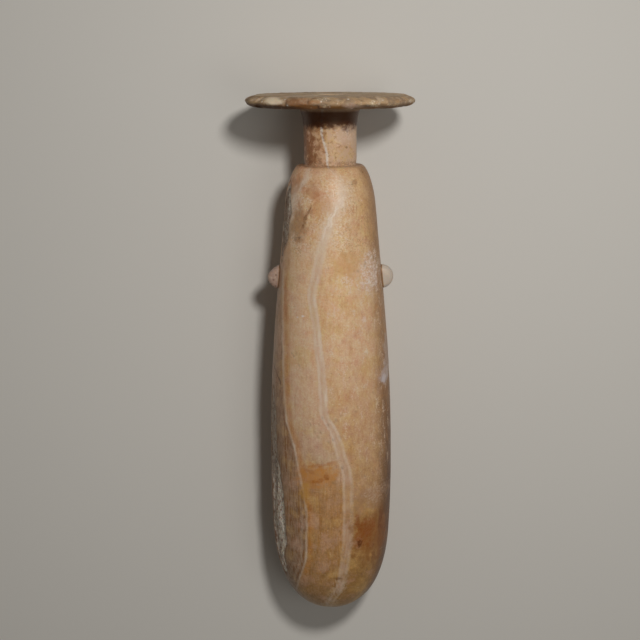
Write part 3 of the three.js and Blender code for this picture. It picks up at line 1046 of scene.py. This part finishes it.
@dataclass
class StoneShader:
    """Turns the finish into nodes, read in the flask's own millimetres."""

    finish: BandedStone
    lie: Lie
    tip: float
    name: str = "banded_calcite"
    nodes: Shader = field(init=False)

    def build(self) -> bpy.types.Material:
        """Makes the material.

        Returns:
            The material.
        """
        material = bpy.data.materials.new(self.name)
        self.nodes = Shader(material)
        self.place()
        f = self.finish
        coat = self.banding()
        self.veins(coat)
        self.spots(coat, f.stains, self.swayed)
        self.neck(coat)
        self.rim(coat)
        self.lugs(coat)
        self.breaks(coat)
        shader = self.nodes.node(
            "ShaderNodeBsdfPrincipled",
            {},
            {
                "Base Color": coat.colour,
                "Roughness": self.gloss(),
                "Normal": self.surface(),
                "Subsurface Weight": f.glow,
                "Subsurface Scale": f.glow_depth,
                "Subsurface Radius": f.glow_reach,
                "IOR": f.refraction,
                "Specular IOR Level": f.shine,
                "Specular Tint": f.sheen,
            },
        )
        self.nodes.node("ShaderNodeOutputMaterial", {}, {"Surface": shader.outputs["BSDF"]})
        return material

    def place(self) -> None:
        """Works out the flask's own coordinates, layers and wear from the object's."""
        n, f, sizes = self.nodes, self.finish, self.lie.outline.sizes
        matrix = self.lie.matrix(self.tip)
        coordinates = n.node("ShaderNodeTexCoord")
        self.where = n.node(
            "ShaderNodeMapping",
            {"vector_type": "TEXTURE"},
            {
                "Vector": coordinates.outputs["Object"],
                "Location": tuple(matrix.translation),
                "Rotation": (self.lie.lean, 0, 0),
                "Scale": (MM, MM, MM),
            },
        ).outputs[0]
        parts = n.node("ShaderNodeSeparateXYZ", {}, {"Vector": self.where})
        self.x, self.height, self.z = (Value(n, parts.outputs[i]) for i in range(3))
        self.fibre = self.stretched((1, 0.09, 1))
        self.drawn = self.stretched((1, 0.35, 1))
        self.turning = n.noise(self.stretched((0.1, 1, 0.1)), 1 / 1.3, 3, 0.6)
        self.radius = n.math("SQRT", self.x * self.x + self.z * self.z)
        self.front = n.step(self.z, -1.5, 4.0)
        self.flaked = n.attribute("flaked")
        self.pitted = n.attribute("pitted")
        self.bitten = n.attribute("bitten")
        self.clouds = self.noise(f.cloud_size, 4)
        self.grain = self.noise(f.grain_size, 4, 0.6)
        self.sand = self.noise(f.sand_size, 3, 0.6)
        drift = n.node(
            "ShaderNodeTexNoise",
            {},
            {"Vector": self.where, "Scale": 1 / f.drift_size, "Detail": 3},
        )
        drift = n.vector("SUBTRACT", drift.outputs["Color"], (0.5, 0.5, 0.5))
        self.swayed = n.vector("MULTIPLY_ADD", drift, (f.drift_reach,) * 3, self.where)
        self.broken = n.step(self.grain * 0.4 + self.sand * 0.6, 0.58, 0.44)
        self.fibres = n.noise(self.fibre, 0.75, 4, 0.62)
        self.strokes = n.noise(self.drawn, 0.4, 4, 0.6)
        behind = self.z.at_most(0.0) * 0.35
        waver = (self.noise(8, 3) - 0.5) * 1.3 + (self.grain - 0.5) * 0.5
        self.across = self.x + behind + waver
        self.main = self.across - self.trace(f.layers.main)
        self.second = self.across - self.trace(f.layers.second)
        foot, under = sizes.body_length, sizes.rim_underside
        self.on_body = n.step(self.height, foot + 0.4, foot - 1.2)
        self.on_rim = n.step(self.height, under - 2.4, under - 0.2)
        self.on_neck = (1 - self.on_body) * (1 - self.on_rim)

    def stretched(self, scale: tuple[float, float, float]) -> Socket:
        """The flask's coordinates, squeezed so that a pattern is drawn out."""
        return self.nodes.node(
            "ShaderNodeMapping", {"vector_type": "POINT"}, {"Vector": self.where, "Scale": scale}
        ).outputs[0]

    def trace(self, points: Trace) -> Value:
        """The x of a drawn line at this height.

        Args:
            points: Heights and values in millimetres.

        Returns:
            The value at the shaded point's height.
        """
        layers = self.finish.layers
        reach, half = layers.height_range, layers.half_range
        made = self.nodes.node(
            "ShaderNodeFloatCurve",
            {"curve": [(h / reach, (x + half) / (2 * half)) for h, x in points]},
            {"Value": self.height / reach},
        )
        return Value(self.nodes, made.outputs[0]) * (2 * half) - half

    def ramp(self, stops: tuple[tuple[float, Tint], ...]) -> Socket:
        """A colour that changes with height."""
        reach = self.finish.layers.height_range
        made = self.nodes.node(
            "ShaderNodeValToRGB",
            {"stops": [(h / reach, linear(t)) for h, t in stops]},
            {"Fac": self.height / reach + (self.clouds - 0.5) * 0.06},
        )
        return made.outputs["Color"]

    def band(self, value: Value, low: float, high: float, soft: float) -> Value:
        """1 between low and high, with soft ends."""
        n = self.nodes
        return n.step(value, low - soft, low + soft) * n.step(value, high + soft, high - soft)

    def between(self, low: float, high: float, soft: float) -> Value:
        """1 between two heights, with soft ends."""
        return self.band(self.height, low, high, soft)

    def noise(self, size: float, detail: float = 3, rough: float = 0.55) -> Value:
        """Noise of 0 to 1, with its largest swell of a size in millimetres."""
        return self.nodes.noise(self.where, 1 / size, detail, rough)

    def grains(self, size: float) -> Value:
        """Cells of a size in millimetres, as the distance from each cell's middle."""
        return self.nodes.grains(self.where, 1 / size)

    def line(self, value: Value, middle: object, half_width: float) -> Value:
        """1 on a thin line, falling off to nothing at twice its half width."""
        return self.nodes.step(abs(value - middle), 2 * half_width, 0.2 * half_width)

    def banding(self) -> Coat:
        """The broad bands of the body and their mottling."""
        n, f = self.nodes, self.finish
        colour = n.mix(n.step(self.main, -0.6, 1.2), self.ramp(f.middle), self.ramp(f.right))
        coat = Coat(n, n.mix(n.step(self.second, 0.5, -0.4), colour, self.ramp(f.left)))

        # Amber along the second vein, cream near the shoulder, brown towards the sides that is partly
        # the stone's colour and partly painted shade, and painted shade on the lower sides
        amber = self.band(self.second, 0.7, 2.8, 1.3) * self.between(20, 164, 9)
        coat.lay(amber * (0.3 + self.clouds * 0.7), f.amber)
        deep = self.band(self.second, 0.6, 1.9, 0.8) * self.between(141, 158, 4)
        coat.lay(deep * 0.6, f.ember)
        patch = self.noise(9, 4, 0.6)
        coat.lay(n.step(patch, 0.5, 0.66) * 0.35, f.rose)
        coat.lay(n.step(patch, 0.5, 0.36) * 0.35, f.honey)
        creamy = n.step(self.clouds * 0.4 + self.grain * 0.3 + self.sand * 0.3, 0.46, 0.58)
        creamy = creamy * self.between(172, 206, 10)
        creamy = creamy * n.step(self.x + (patch - 0.5) * 14, 14, 4)
        coat.lay(creamy * 0.6, f.cream)
        # Towards the right edge, more so lower down: amber that is partly the stone's colour and
        # partly painted shade where the flank turns from the light
        edge = n.step(self.x / self.radius + (self.clouds - 0.5) * 0.16, 0.66, 0.98) * self.on_body
        below = n.step(self.height, 145, 110)
        coat.lay(edge * (0.72 + below * 0.2), f.edge_amber_and_painted_shade)
        # Painted shade: both sides of the front darkened below the middle of the body, where the flank
        # turns from the light
        side_shade_mask = n.step(abs(self.x) / self.radius + (self.clouds - 0.5) * 0.16, 0.68, 1.0)
        side_shade_mask = side_shade_mask * n.step(self.height, 125, 60) * self.front
        coat.lay(side_shade_mask * 0.95, f.painted_side_shade)

        # Fine lines that run with the bands, stronger on the left, and faint turning marks
        fine = n.step(abs(self.fibres - 0.5), 0.02, 0.12)
        left = 0.4 * n.step(self.main, 0.0, -3.0) + 0.6 * n.step(self.second, 1.0, -2.0)
        coat.lay((1 - fine) * left * 0.2, f.pale)
        coat.lay(n.step(self.fibres, 0.48, 0.3) * (0.06 + left * 0.16), f.umber)
        marks = n.step(self.turning, 0.6, 0.72) * self.on_body
        coat.lay(marks * 0.09, f.pale)
        flecks = n.step(self.strokes + (self.sand - 0.5) * 0.5, 0.54, 0.72)
        place = n.step(self.main, 1.0, 4.5) * self.between(72, 176, 12)
        coat.lay(flecks * place * 0.65, f.fleck)
        warm = n.step(self.strokes, 0.48, 0.3) * n.step(self.main, 0.5, 2)
        coat.lay(warm * 0.35, f.warm)
        self.mottle(coat)
        return coat

    def mottle(self, coat: Coat) -> None:
        """Cloudy lighter and darker patches, small light grains and dark specks."""
        n, f = self.nodes, self.finish
        cloud = self.noise(5.0, 5, 0.7) * 0.4
        cloud = cloud + n.noise(self.drawn, 1 / 1.3, 3, 0.65) * 0.25
        cloud = (cloud + self.sand * 0.35 - 0.5) * 2.0 + 0.51
        grey = n.node("ShaderNodeCombineXYZ", {}, {i: cloud for i in range(3)})
        coat.colour = n.mix(0.5, coat.colour, grey.outputs[0], "OVERLAY")
        light = n.step(self.noise(1.1, 2), 0.64, 0.76)
        light = light * n.step(self.clouds, 0.4, 0.6) * (0.3 + n.step(self.height, 55, 90) * 0.3)
        coat.lay(light, f.cream)
        dark = n.step(self.noise(0.9, 2), 0.36, 0.26)
        coat.lay(dark * n.step(self.clouds, 0.6, 0.4) * 0.4, f.umber)
        crackle = n.step(abs(self.noise(3.0, 4, 0.62) - 0.5), 0.022, 0.004)
        upper = self.between(166, 206, 8)
        share = crackle * n.step(self.clouds, 0.42, 0.6) * (0.14 + upper * 0.34)
        coat.lay(share, f.crackle)
        dust = n.step(self.sand * 0.7 + self.clouds * 0.3, 0.44, 0.34) * upper
        coat.lay(dust * 0.4, f.warm)

    def veins(self, coat: Coat) -> None:
        """The double main vein and the second one."""
        n, f = self.nodes, self.finish
        gap = self.trace(f.layers.spacing)
        worn = n.step(n.noise(self.drawn, 1 / 3.2, 3), 0.36, 0.6)
        low = n.step(self.height, 82, 58)
        strength = (0.36 + worn * 0.56) * (0.7 + self.sand * 0.6) * (1 - low * 0.35)
        inside = n.step(abs(self.main), 2.6, 0.7) * self.between(12, 200, 6)
        coat.lay(inside * (0.4 + (worn - 0.7) * low * 0.4), f.blush)
        soft = n.step(self.height, 160, 188)
        right = self.line(self.main, gap, 0.7) * (0.95 - n.step(self.height, 108, 80) * 0.5)
        left = self.line(self.main, 0 - gap, 0.55) * (0.68 - low * 0.15)
        middle = self.line(self.main, gap * -0.2, 0.4) * 0.2
        lines = (right + left + middle).clamped() * strength * (1 - soft * 0.8)
        coat.lay(lines * self.on_body, f.pale)
        halo = n.step(abs(self.main), 6.0, 0.5) * self.between(166, 204, 9)
        halo = halo * (0.1 + self.strokes * 0.9) * (0.6 + self.sand * 0.5)
        coat.lay(halo, f.cream)
        fan = n.step(abs(self.fibres - 0.5), 0.07, 0.02) * n.step(abs(self.main), 5.0, 2.0)
        coat.lay(fan * self.between(3, 22, 4) * 0.28, f.pale)
        neck = self.line(self.main, (self.clouds - 0.5) * 3, 0.42) * (1 - self.on_body)
        coat.lay(neck * (0.6 + self.sand * 0.5), f.rim_white)

        thin = self.line(self.second, 0.0, 0.42) * self.between(12, 98, 5)
        faint = self.line(self.second, 0.0, 0.45) * self.between(98, 165, 8)
        beside = self.line(self.second, -2.2, 0.5) * 0.28 + self.line(self.second, -4.6, 0.4) * 0.16
        beside = beside * self.between(14, 58, 5)
        bow = self.line(self.second, 0.0, 1.4) * self.between(184, 208, 5)
        marks = thin * 0.9 + faint * 0.5 + beside + bow * 0.9
        coat.lay(marks.clamped() * strength, f.pale)

        # The hairline that crosses the front below the lugs
        crossing = self.height + (self.noise(10, 2) - 0.5) * 1.6
        hair = self.line(crossing, f.layers.hairline, 0.2)
        hair = hair * self.band(self.x, -20, 14, 3) * self.front
        coat.lay(hair * 0.3 * self.fibres, f.cream)

    def spots(self, coat: Coat, stains: tuple[Stain, ...], ground: Socket) -> None:
        """Lays stains over the front.

        Args:
            coat: The colour that they are laid on.
            stains: The stains, lowest first.
            ground: The coordinates that the larger stains are drawn in.
        """
        n = self.nodes
        ragged = {
            grain: self.noise(grain, 5, 0.62) for grain in {s.grain for s in stains}
        }
        uneven = (self.noise(2.2, 4, 0.65) * 1.1 + 0.45) * self.front
        whole = {
            speckle: n.math("MULTIPLY_ADD", self.broken, -speckle, 1.0) * uneven
            for speckle in {s.speckle for s in stains}
        }
        for stain in stains:
            large = stain.half_width + stain.half_height > 5
            spot = n.node(
                "ShaderNodeMapping",
                {"vector_type": "TEXTURE"},
                {
                    "Vector": ground if large else self.where,
                    "Location": (stain.x, stain.height, 0),
                    "Rotation": (0, 0, math.radians(stain.turn)),
                    "Scale": (stain.half_width, stain.half_height, 1e6),
                },
            )
            far = n.vector("LENGTH", spot.outputs[0])
            reach = n.math("MULTIPLY_ADD", ragged[stain.grain], 2 * stain.ragged, far)
            share = n.step(reach, 1.12 + stain.ragged, 0.45 + stain.ragged) * whole[stain.speckle]
            coat.lay(share * stain.strength, stain.tint)

    def neck(self, coat: Coat) -> None:
        """The neck: mottled pink and brown, with the rim's cast shadow painted dark under the rim, and
        dirt round its foot.
        """
        n, f, sizes = self.nodes, self.finish, self.lie.outline.sizes
        blotch = self.noise(2.6, 5, 0.68)
        pale = n.step(blotch + self.x * 0.01, 0.48, 0.6) * self.on_neck
        coat.lay(pale * 0.7, f.neck_pale)
        brown = n.step(blotch + self.x * 0.014, 0.5, 0.34) * self.on_neck
        coat.lay(brown * 0.6, f.neck_red)
        specks = n.step(self.sand * 0.6 + blotch * 0.4, 0.42, 0.32) * self.on_neck
        coat.lay(specks * 0.6, f.umber)
        foot = self.line(self.height, sizes.body_length + 0.7, 1.0)
        coat.lay(foot * n.step(self.sand, 0.36, 0.62) * 0.6, f.umber)
        near = self.between(sizes.body_length - 2, sizes.body_length + 4, 2)
        crumbs = n.step(self.grains(1.1), 0.3, 0.12) * near
        coat.lay(crumbs * 0.4, f.grime)
        # Painted shadow of the rim on the neck, with a ragged lower edge
        ragged = self.height + (self.noise(3.0, 5, 0.68) - 0.5) * 8
        low, high = (sizes.rim_underside - drop for drop in f.neck_shadow_drops)
        shade = n.step(ragged, low, high) * (1 - self.on_rim)
        coat.lay(shade * 0.95, f.painted_shade_brown)

    def rim(self, coat: Coat) -> None:
        """The rim: brown below as painted shade on the edge's lower, downward face, darkest at the
        outer left, mottled pale and grey above with brown patches, and a few white points.
        """
        n, f, sizes = self.nodes, self.finish, self.lie.outline.sizes
        patches = self.noise(4.5, 4, 0.62)
        grey = n.mix(n.step(patches, 0.42, 0.58), linear(f.rim_grey), linear(f.rim_base))
        edge = Coat(n, grey)
        blotches = n.step(self.noise(2.4, 4, 0.65), 0.54, 0.68)
        edge.lay(blotches * 0.55, f.rim_light)
        brown = n.step(self.noise(6, 4, 0.65) - self.x * 0.003, 0.5, 0.64)
        outer = n.step(self.radius, sizes.rim_radius - 6, sizes.rim_radius - 3)
        edge.lay(brown * (0.3 + outer * 0.35), f.rim_brown_and_shade)
        edge.lay((1 - outer) * n.step(self.clouds, 0.4, 0.62) * 0.45, f.rim_light)
        # Painted shade on the lower half of the edge, which faces away from the light, darkest at the
        # outer left
        ragged = self.height + (self.clouds - 0.5) * 2
        low = n.step(ragged, sizes.rim_middle + 0.6, sizes.rim_underside + 0.4)
        edge.lay(low * 0.6, f.rim_brown_and_shade)
        edge.lay(low * outer * (0.2 + n.step(self.x, 5, -25) * 0.6), f.painted_shade_brown)
        edge.lay(n.step(self.sand, 0.42, 0.3) * 0.35, f.grime)
        white = n.step(self.grains(3.4), 0.2, 0.08) * (0.15 + outer * 0.65)
        edge.lay(white, f.rim_white)
        fresh = n.step(self.bitten, 0.25, 0.7)
        fresh = fresh * n.step(self.height, sizes.rim_middle - 0.8, sizes.rim_middle + 0.6)
        edge.lay(fresh * (0.2 + self.grain * 0.4), f.rim_light)
        clean = edge.colour
        self.spots(edge, f.rim_stains, self.where)
        coat.cover(self.on_rim, n.mix(outer, clean, edge.colour))

    def lugs(self, coat: Coat) -> None:
        """The lugs, the left pink and pitted, the right pale and smooth, and painted shade in the
        joint round them.
        """
        n, f, outline = self.nodes, self.finish, self.lie.outline
        middle, reach = outline.sizes.lug_height, outline.sizes.lug_radius
        below, here, above = (
            float(r) for r in outline.radius_at(np.array([middle - reach, middle, middle + reach]))
        )
        up = self.height - middle
        proud = self.radius - up * ((above - below) / (2 * reach)) - here
        out = abs(self.x) - here
        around = n.math("SQRT", out * out + up * up)
        near = n.step(around, reach + 1.2, reach + 0.4)
        lug = n.step(proud, 0.2, 0.6) * near * n.step(abs(self.z), 4.2, 3.6)
        kind = Coat(n, n.mix(n.step(self.x, -2, 2), linear(f.lug_pink), linear(f.lug_pale)))
        pits = n.step(self.grains(1.7), 0.34, 0.14) * n.step(self.x, 2, -2)
        kind.lay(pits * 0.65, f.lug_pit)
        kind.lay(n.step(self.grain, 0.5, 0.7) * 0.4, f.rim_light)
        # Painted shade in the joint where each lug meets the flank
        seam_shade = near * n.step(abs(self.z), 5.4, 4.0) * n.step(proud, 0.7, 0.2)
        coat.lay(seam_shade * 0.6, f.umber)
        coat.cover(lug, kind.colour)

    def breaks(self, coat: Coat) -> None:
        """The pale crystals of the flakes, with painted shade on their outer part and along their
        edge, and the pits' dirt.
        """
        n, f = self.nodes, self.finish
        crystal = n.grains(self.stretched((1, 0.55, 1)), 1 / 1.3)
        dark = n.step(crystal + (self.sand - 0.5) * 1.4, 0.4, 0.95)
        bed = Coat(n, n.mix(dark, linear(f.break_pale), linear(f.break_deep)))
        bed.lay(n.step(self.grain, 0.5, 0.34) * 0.5, f.break_deep)
        # Painted shade on the flakes' outer part, which turns from the light
        outer = n.step(self.x / self.radius + (self.grain - 0.5) * 0.12, -0.9, -0.97)
        bed.lay(outer * 0.5, f.break_painted_shade)
        high = n.step(self.height, 150, 165)
        bed.lay(n.step(self.clouds, 0.48, 0.62) * (0.15 + high * 0.35), f.umber)
        holes = n.step(self.grains(2.4), 0.34, 0.16) * high
        bed.lay(holes * 0.75, f.grime)
        coat.cover(n.step(self.flaked + (self.grain - 0.5) * 0.25, 0.14, 0.26), bed.colour)
        # Painted shade along the flakes' edge, where the surface steps down
        lip_shade = self.band(self.flaked, 0.02, 0.15, 0.05)
        coat.lay(lip_shade * 0.6, f.umber)
        coat.lay((self.pitted * 0.35).clamped(), f.grime)

    def gloss(self) -> Value:
        """Roughness: softly polished, dull in the breaks and pits."""
        f = self.finish
        worn = (self.flaked * 2 + self.pitted).clamped()
        rest = f.roughness + (self.clouds - 0.5) * 0.2 + (self.grain - 0.5) * 0.16
        dull = (worn + self.on_rim * 0.6).at_most(1.0)
        return (rest + dull * (f.break_roughness - f.roughness)).clamped()

    def surface(self) -> Socket:
        """Fine relief: grain, hair scratches, and crystals in the breaks."""
        n, f = self.nodes, self.finish
        scratch = n.noise(self.stretched((1, 0.05, 1)), 1.6, 3, 0.6)
        level = self.grain * 0.4 + scratch * 0.35 + self.sand * 0.3 + self.turning * 0.25
        level = level + self.noise(0.45, 2) * 0.25
        rough = self.grains(1.1) * -2.2 + self.noise(0.6, 3) * 1.2
        worn = n.step(self.flaked, 0.05, 0.3)
        level = level + rough * worn
        return n.node(
            "ShaderNodeBump",
            {},
            {"Strength": f.relief_strength, "Distance": f.relief_depth, "Height": level},
        ).outputs["Normal"]


# Pieces


@dataclass
class Lug:
    """One small unpierced lug, a disc with round edges that stands half out of the flank."""

    side: int
    outline: Outline = Outline()
    squareness: float = 3.0
    rings: int = 32
    segments: int = 56
    chip_share: float = 0.6

    def build(self) -> bpy.types.Object:
        """Shapes the lug in flask millimetres.

        Returns:
            The lug's object.
        """
        s = self.outline.sizes
        reach = float(self.outline.radius_at(np.array([s.lug_height]))[0]) - s.lug_sink
        bpy.ops.object.select_all(action="DESELECT")
        bpy.ops.mesh.primitive_uv_sphere_add(
            segments=self.segments, ring_count=self.rings, radius=1, location=(0, 0, 0)
        )
        item = begin_piece("lug_right" if self.side > 0 else "lug_left")
        p = read_points(item)
        half = np.array([s.lug_radius, s.lug_radius, s.lug_thickness / 2])
        round_part = np.hypot(p[:, 0], p[:, 1])
        size = (round_part**self.squareness + np.abs(p[:, 2]) ** self.squareness) ** (
            -1 / self.squareness
        )
        p = p * size[:, None] * half
        if self.side < 0:
            slope = math.radians(s.lug_chip_slope)
            way = np.array([-math.sin(slope), math.cos(slope), 0])
            over = np.maximum(p @ way - (s.lug_radius - s.lug_chip), 0)
            p -= over[:, None] * way * self.chip_share
        p += np.array([self.side * reach, s.lug_height, 0])
        write_points(item, p)
        return item


@dataclass
class Flask:
    """The whole flask, turned, given its lugs, worn and laid down."""

    outline: Outline = Outline()
    relief: Relief = Relief()
    finish: BandedStone = BandedStone()
    segments: int = 256
    weld: float = 0.002
    sharp_angle: float = 40.0
    name: str = "stone_flask"

    def turn(self) -> bpy.types.Object:
        """Draws the profile point by point and spins it round the axis.

        Returns:
            The turned vessel in flask millimetres.
        """
        points = self.outline.points()
        bpy.ops.object.select_all(action="DESELECT")
        bpy.ops.mesh.primitive_plane_add(size=1, location=(0, 0, 0))
        item = begin_piece(self.name)
        bpy.ops.object.mode_set(mode="EDIT")
        bpy.ops.mesh.select_all(action="SELECT")
        bpy.ops.mesh.merge(type="CENTER")
        last = (0.0, 0.0)
        for radius, height in points[1:]:
            step = (radius - last[0], height - last[1], 0)
            bpy.ops.mesh.extrude_region_move(TRANSFORM_OT_translate={"value": step})
            last = (radius, height)
        bpy.ops.mesh.select_all(action="SELECT")
        bpy.ops.mesh.spin(
            steps=self.segments, angle=2 * math.pi, center=(0, 0, 0), axis=(0, 1, 0)
        )
        bpy.ops.mesh.select_all(action="SELECT")
        bpy.ops.mesh.remove_doubles(threshold=self.weld)
        bpy.ops.mesh.normals_make_consistent(inside=False)
        bpy.ops.object.mode_set(mode="OBJECT")
        return item

    def add_lugs(self, item: bpy.types.Object) -> None:
        """Joins the two lugs to the flanks as one stone."""
        for side in (-1, 1):
            lug = Lug(side, self.outline).build()
            only(item)
            union = item.modifiers.new("lug", "BOOLEAN")
            union.operation = "UNION"
            union.solver = "EXACT"
            union.object = lug
            bpy.ops.object.modifier_apply(modifier=union.name)
            bpy.data.objects.remove(lug)

    def wear(self, item: bpy.types.Object) -> None:
        """Carves breaks, pits and chips, and keeps where they are for the stone's finish."""
        p = read_points(item)
        before = p.copy()
        marks = self.relief.carve(p, read_normals(item), self.outline)
        write_points(item, p)
        for name, values in marks.items():
            layer = item.data.attributes.new(name, "FLOAT", "POINT")
            layer.data.foreach_set("value", values.astype(np.float32))
        moved = np.linalg.norm(p - before, axis=1)
        LOG.info("wear moves points by up to %.2f mm", moved.max())

    def lay_down(self, item: bpy.types.Object) -> float:
        """Lays the flask on its body and rim, with small flats where it touches the floor.

        Returns:
            Row y of the base's tip.
        """
        lie = Lie(self.outline)
        low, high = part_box(NODE)
        tip = lie.tip_y()
        p = read_points(item)
        matrix = np.array(lie.matrix(tip))
        p = p @ matrix[:3, :3].T + matrix[:3, 3]
        p[:, 2] = np.maximum(p[:, 2], 0)
        p = np.clip(p, np.array(low), np.array(high))
        write_points(item, p)
        return tip

    def build(self) -> bpy.types.Object:
        """Builds and dresses the flask.

        Returns:
            The finished piece.
        """
        item = self.turn()
        self.add_lugs(item)
        self.wear(item)
        tip = self.lay_down(item)
        only(item)
        bpy.ops.object.shade_smooth_by_angle(angle=math.radians(self.sharp_angle))
        item.data.materials.clear()
        item.data.materials.append(StoneShader(self.finish, Lie(self.outline), tip).build())
        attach(item, BODY)
        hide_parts(NODE)
        faces = sum(len(polygon.vertices) - 2 for polygon in item.data.polygons)
        lean = math.degrees(Lie(self.outline).lean)
        LOG.info("%s: %d triangles, lean %.3f degrees", item.name, faces, lean)
        return item


# Studio


class Lamp(Enum):
    """The studio's lamps: place and size in flask millimetres, and power in watts."""

    KEY = ((110.0, 400.0, 520.0), 80.0, 1.75)
    FILL = ((350.0, 150.0, 900.0), 500.0, 1.0)


@dataclass
class Studio:
    """Pale floor, soft lamps and the camera that looks down on the lying flask."""

    lie: Lie
    tip: float
    floor_size: float = 6.0
    floor_tint: Tint = (216, 211, 202)
    floor_shade: Tint = (198, 193, 184)
    floor_mottling: float = 0.12
    floor_roughness: float = 0.8
    sky: float = 0.1
    sky_colour: tuple[float, float, float, float] = (1.0, 0.97, 0.92, 1)
    sensor: float = 36.0
    distance: float = 650.0
    above_rim: float = 2.2
    aside: float = -4.86
    look_down: float = 10.87
    roll: float = 0.25
    lens: float = 81.0
    aim_height: float = 140.0

    def floor(self) -> None:
        """Lays the floor."""
        bpy.ops.object.select_all(action="DESELECT")
        bpy.ops.mesh.primitive_plane_add(size=self.floor_size, location=(0, 0, 0))
        item = begin_piece("studio_floor")
        material = bpy.data.materials.new("pale_floor")
        n = Shader(material)
        where = n.node("ShaderNodeTexCoord").outputs["Object"]
        mottled = n.noise(where, 6.0, 3) * self.floor_mottling
        colour = n.mix(mottled, linear(self.floor_tint), linear(self.floor_shade))
        shader = n.node(
            "ShaderNodeBsdfPrincipled",
            {},
            {"Base Color": colour, "Roughness": self.floor_roughness},
        )
        n.node("ShaderNodeOutputMaterial", {}, {"Surface": shader.outputs["BSDF"]})
        item.data.materials.append(material)

    def lamp(self, kind: Lamp) -> None:
        """Hangs one lamp and points it at the flask.

        Args:
            kind: Which lamp.
        """
        place, size, power = kind.value
        matrix = self.lie.matrix(self.tip)
        spot = matrix @ Vector(place)
        aim = matrix @ Vector((0, self.aim_height, 0))
        data = bpy.data.lights.new(kind.name.lower(), "AREA")
        data.shape = "DISK"
        data.size = size * MM
        data.energy = power
        item = bpy.data.objects.new(kind.name.lower(), data)
        item.location = spot
        item.rotation_euler = (aim - spot).to_track_quat("-Z", "Y").to_euler()
        bpy.context.scene.collection.objects.link(item)

    def world(self) -> None:
        """Fills the room with soft even light."""
        scene = bpy.context.scene
        world = bpy.data.worlds.new("studio")
        scene.world = world
        world.use_nodes = True
        background = world.node_tree.nodes["Background"]
        background.inputs["Color"].default_value = self.sky_colour
        background.inputs["Strength"].default_value = self.sky

    def camera(self) -> None:
        """Puts the camera above the flask, a little over the rim's plane."""
        s = self.lie.outline.sizes
        turn = math.radians(self.above_rim)
        spot = Vector((
            self.aside,
            s.rim_middle + self.distance * math.sin(turn),
            self.distance * math.cos(turn),
        ))
        down = math.radians(self.look_down)
        ahead = Vector((0, -math.sin(down), -math.cos(down)))
        up = Vector((0, math.cos(down), -math.sin(down)))
        right = ahead.cross(up)
        roll = Matrix.Rotation(math.radians(self.roll), 4, ahead)
        up, right = roll @ up, roll @ right
        matrix = self.lie.matrix(self.tip)
        turned = matrix.to_3x3() * (1 / MM)
        data = bpy.data.cameras.new("camera")
        data.sensor_width = self.sensor
        data.lens = self.lens
        item = bpy.data.objects.new("camera", data)
        axes = [turned @ v for v in (right, up, -ahead)]
        rows = [[axes[c][r] for c in range(3)] + [(matrix @ spot)[r]] for r in range(3)]
        item.matrix_world = Matrix((*rows, (0, 0, 0, 1)))
        bpy.context.scene.collection.objects.link(item)
        bpy.context.scene.camera = item

    def build(self) -> None:
        """Sets up the whole studio."""
        self.floor()
        for kind in Lamp:
            self.lamp(kind)
        self.world()
        self.camera()
        bpy.context.scene.view_settings.view_transform = "Standard"


def main() -> None:
    """Builds the flask and the studio."""
    logging.basicConfig(level=logging.INFO, format="%(name)s: %(message)s")
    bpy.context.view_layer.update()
    flask = Flask()
    flask.build()
    lie = Lie(flask.outline)
    Studio(lie, lie.tip_y()).build()
    LOG.info("studio: floor, %d lamps and a camera", len(Lamp))
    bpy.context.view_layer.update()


if __name__ == "__main__":
    main()
